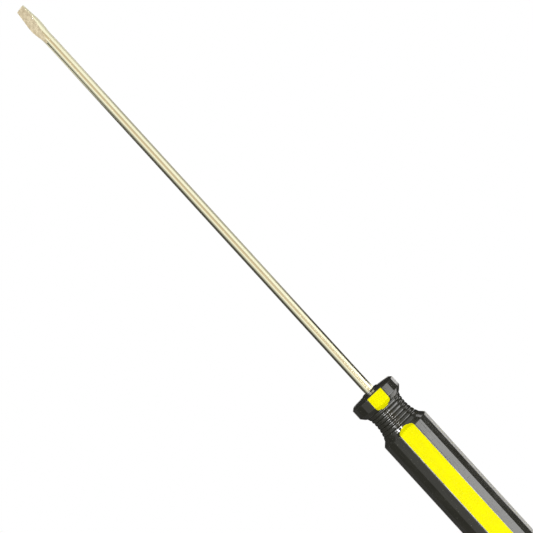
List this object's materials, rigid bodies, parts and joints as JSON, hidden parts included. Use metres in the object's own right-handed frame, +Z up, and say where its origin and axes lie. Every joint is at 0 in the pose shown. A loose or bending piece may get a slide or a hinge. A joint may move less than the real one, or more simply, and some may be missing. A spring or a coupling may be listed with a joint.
{
  "type": "slotted screwdriver",
  "caption": "Long slotted screwdriver: round plated steel shank with a ground flat tip, fixed in a faceted striped plastic handle with a collar and a ringed neck.",
  "frame": {"origin": "centre of the bottom of the bounding box, midway between butt and tip, on the narrow black facet of the grip that the tool lies on", "axes": "+X from the butt to the tip, +Z up, 10 degrees to the left of the middle of the top yellow stripe, +Y to the tool's left; the tool's own axis is parallel to X, 15.658 mm above the origin"},
  "size_m": [0.436, 0.0318, 0.0312],
  "materials": {
    "plated_steel": "bright warm plating with fine lengthwise polishing lines; the ground faces of the tip are matt and blasted",
    "black_plastic": "glossy, with fine handling scratches",
    "yellow_plastic": "glossy, clear bright yellow, slightly translucent"
  },
  "bodies": {
    "root": {"blade": "plated_steel", "handle_body": "black_plastic", "collar_stripe_top": "yellow_plastic", "grip_stripe_top": "yellow_plastic", "collar_stripe_left": "yellow_plastic", "grip_stripe_left": "yellow_plastic", "collar_stripe_right": "yellow_plastic", "grip_stripe_right": "yellow_plastic"}
  },
  "joints": []
}
